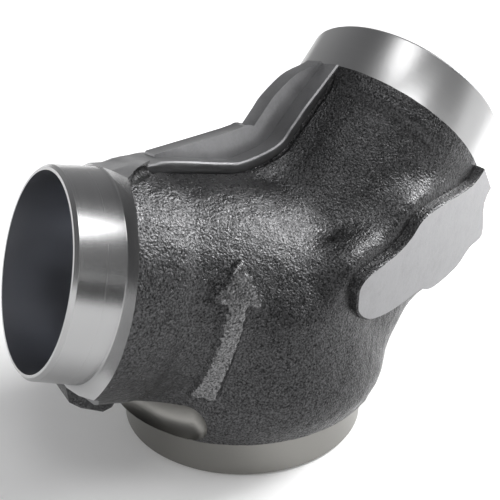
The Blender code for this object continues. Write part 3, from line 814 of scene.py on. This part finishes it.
def make_body():
    """The skin, rounded twice, then what is cut off it, joined on to it and turned and bored."""
    body = leg("strainer_body", OUTLET, OUTLET_LEG)
    legs = [leg("access_leg", ACCESS, ACCESS_LEG), leg("inlet_leg", INLET, INLET_LEG)]
    gather(body, legs + [pad_boss(), ridge()])
    remesh(body, SKIN_VOXEL, SKIN_SMOOTHING)
    gather(body, [leg("outlet_collar", OUTLET, OUTLET_COLLAR), leg("access_collar", ACCESS, ACCESS_COLLAR)])
    remesh(body, FINE_VOXEL, FINE_SMOOTHING)
    rough_up(body)
    outlet_cut = turning(
        "outlet_turned", OUTLET, OUTLET_RING, OUTLET_SHOULDER, OUTLET_REACH, OUTLET_TURNED, OUTLET_TAPER
    )
    above = trim("trim_above", TRIM_ABOVE_Y, TRIM_ABOVE, 1)
    below = trim("trim_below", TRIM_BELOW_Y, TRIM_BELOW, -1)
    combine(body, cove() + [outlet_cut, above, below, crease(body, -1), crease(body, 1)], "DIFFERENCE")
    combine(body, [bead(), web(), lug(), pad()], "UNION")
    combine(body, [
        turning("access_turned", ACCESS, ACCESS_RING, ACCESS_SHOULDER, ACCESS_REACH, ACCESS_TURNED),
        turning("inlet_turned", INLET, INLET_RING, INLET_SHOULDER, INLET_REACH, INLET_TURNED),
    ] + bores(), "DIFFERENCE")
    body.data.shade_smooth()
    body.data.set_sharp_from_angle(angle=SHARP_ANGLE)
    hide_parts("body")
    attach(body, "root")


# ---------------------------------------------------------------- the other pieces


def finish_frame_nodes():
    """Better materials on the pieces whose CAD shape stays."""
    by_slot = {
        "bright_steel": turned_look("turned_cover", ACCESS, (0.62, 0.62, 0.63), 0.26),
        "stainless": plain_metal_look("stainless_part", (0.62, 0.62, 0.6), 0.28, ACCESS),
        "zinc_plate": plain_metal_look("zinc_plated", (0.6, 0.61, 0.63), 0.34),
        "brass_trim": plain_metal_look("turned_brass", (0.72, 0.52, 0.22), 0.28, ACCESS),
        "graphite_gasket": graphite_look(),
    }
    for entry in frame["record"]["subparts"]:
        look = by_slot.get(entry["material_slot"])
        if look:
            for holder in frame["nodes"][entry["node"]].material_slots:
                holder.material = look


# ---------------------------------------------------------------- studio


def make_floor():
    """A wide pale dish, so that every view ends on it."""
    mesh_data = bmesh.new()
    middle = mesh_data.verts.new((0, 0, 0))
    rings = [circle(mesh_data, radius, height, FLOOR_SEGMENTS) for radius, height in FLOOR_PROFILE]
    for k in range(FLOOR_SEGMENTS):
        after = (k + 1) % FLOOR_SEGMENTS
        mesh_data.faces.new((middle, rings[0][k], rings[0][after]))
        for low, high in zip(rings, rings[1:]):
            mesh_data.faces.new((low[k], high[k], high[after], low[after]))
    floor = add_mesh("floor", mesh_data, [floor_look()])
    floor.data.shade_smooth()


def aim(item, place, target, axis):
    """Put the object there with that local axis towards the target."""
    item.location = place
    item.rotation_euler = (Vector(target) - Vector(place)).to_track_quat(axis, "Y").to_euler()


def make_softbox(name, place, size, power):
    lamp = bpy.data.lights.new(name, "AREA")
    lamp.shape = "RECTANGLE"
    lamp.size, lamp.size_y = size
    lamp.energy = power
    item = bpy.data.objects.new(name, lamp)
    aim(item, place, LIGHT_TARGET, "-Z")
    bpy.context.scene.collection.objects.link(item)


def make_dark_card():
    """A black card in front that only reflections see: the dark band on the outlet ring."""
    mesh_data = bmesh.new()
    bmesh.ops.create_grid(mesh_data, x_segments=2, y_segments=2, size=0.5)
    bmesh.ops.scale(mesh_data, vec=(*CARD_SIZE, 1), verts=mesh_data.verts)
    black = Look("dark_card_black", (0.004, 0.004, 0.004), metallic=0.0, roughness=1.0)
    card = add_mesh("dark_card", mesh_data, [black.material])
    aim(card, CARD_PLACE, CARD_TARGET, "Z")
    card.visible_camera = False
    card.visible_diffuse = False
    card.visible_shadow = False


def make_world():
    """A grey studio, darkest a little behind the middle and brightest at the back (+Y)."""
    world = bpy.data.worlds.new("studio")
    world.use_nodes = True
    tree = world.node_tree
    back = tree.nodes["Background"]
    place = tree.nodes.new("ShaderNodeTexCoord").outputs["Generated"]
    split = tree.nodes.new("ShaderNodeSeparateXYZ")
    tree.links.new(place, split.inputs["Vector"])
    half = tree.nodes.new("ShaderNodeMapRange")
    half.inputs["From Min"].default_value = -1.0
    tree.links.new(split.outputs["Y"], half.inputs["Value"])
    ramp = tree.nodes.new("ShaderNodeValToRGB")
    fill_ramp(ramp, [(spot, (level, level, level * blue)) for spot, level, blue in WORLD_LEVELS])
    tree.links.new(half.outputs["Result"], ramp.inputs["Fac"])
    tree.links.new(ramp.outputs["Color"], back.inputs["Color"])
    back.inputs["Strength"].default_value = 1.0
    bpy.context.scene.world = world


def make_light():
    """The world, three softboxes in front and above, and the dark card."""
    make_world()
    for name, place, size, power in LIGHTS:
        make_softbox(name, place, size, power)
    make_dark_card()


def make_camera():
    """The camera's three axes are columns: right, up and back."""
    back = Vector(CAMERA_BACK).normalized()
    right = Vector(CAMERA_UP).cross(back).normalized()
    up = back.cross(right)
    lens = bpy.data.cameras.new("camera")
    lens.lens, lens.sensor_width = LENS, SENSOR
    lens.clip_start = CLIP_START
    camera = bpy.data.objects.new("camera", lens)
    turn = Matrix((right, up, back)).transposed().to_4x4()
    camera.matrix_world = Matrix.Translation(CAMERA_PLACE) @ turn
    bpy.context.scene.collection.objects.link(camera)
    bpy.context.scene.camera = camera


make_camera()
LOOKS = body_looks()
make_body()
finish_frame_nodes()
make_floor()
make_light()
bpy.context.scene.view_settings.view_transform = "Standard"
